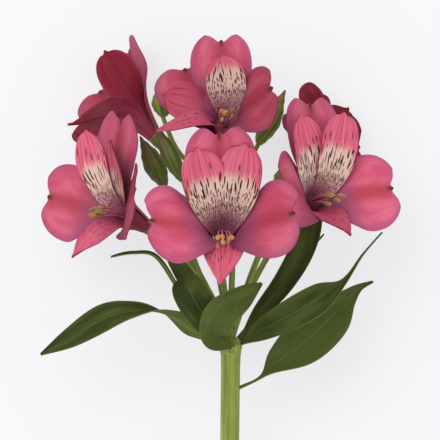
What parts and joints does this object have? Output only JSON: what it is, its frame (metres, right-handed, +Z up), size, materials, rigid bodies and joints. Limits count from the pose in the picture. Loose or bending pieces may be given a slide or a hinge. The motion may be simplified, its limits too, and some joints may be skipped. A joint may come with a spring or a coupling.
{
  "type": "alstroemeria stem",
  "caption": "Cut alstroemeria stem laid down: a leafy stalk with a loose umbel of pink streaked blooms and green buds.",
  "frame": {"origin": "centre of the part's footprint, on the surface that it lies on", "axes": "+Z up from the surface, +Y along the stalk from its cut end to the flower head"},
  "size_m": [0.148, 0.3046, 0.1206],
  "materials": {
    "petal": "soft satin pink with fine veins and dark streaks",
    "anther": "matt tan anthers on pale pink filaments",
    "stem": "smooth yellow-green skin",
    "bud": "ribbed green skin with a mauve flush",
    "leaf": "satin dark green with parallel veins"
  },
  "bodies": {
    "root": {"stem": "stem", "tepals_front": "petal", "stamens_front": "anther", "tepals_left": "petal", "stamens_left": "anther", "tepals_right": "petal", "stamens_right": "anther", "tepals_top": "petal", "stamens_top": "anther", "tepals_back_left": "petal", "stamens_back_left": "anther", "tepals_back_right": "petal", "stamens_back_right": "anther", "bud_left_tall": "bud", "bud_left_low": "bud", "bud_top_left": "bud", "bud_top_right": "bud", "bud_right_small": "bud", "leaf_left": "leaf", "leaf_left_narrow": "leaf", "leaf_front_left": "leaf", "leaf_front": "leaf", "leaf_right": "leaf", "leaf_right_low": "leaf", "leaf_right_tall": "leaf", "leaf_right_narrow": "leaf", "leaf_back_left": "leaf"}
  },
  "joints": []
}
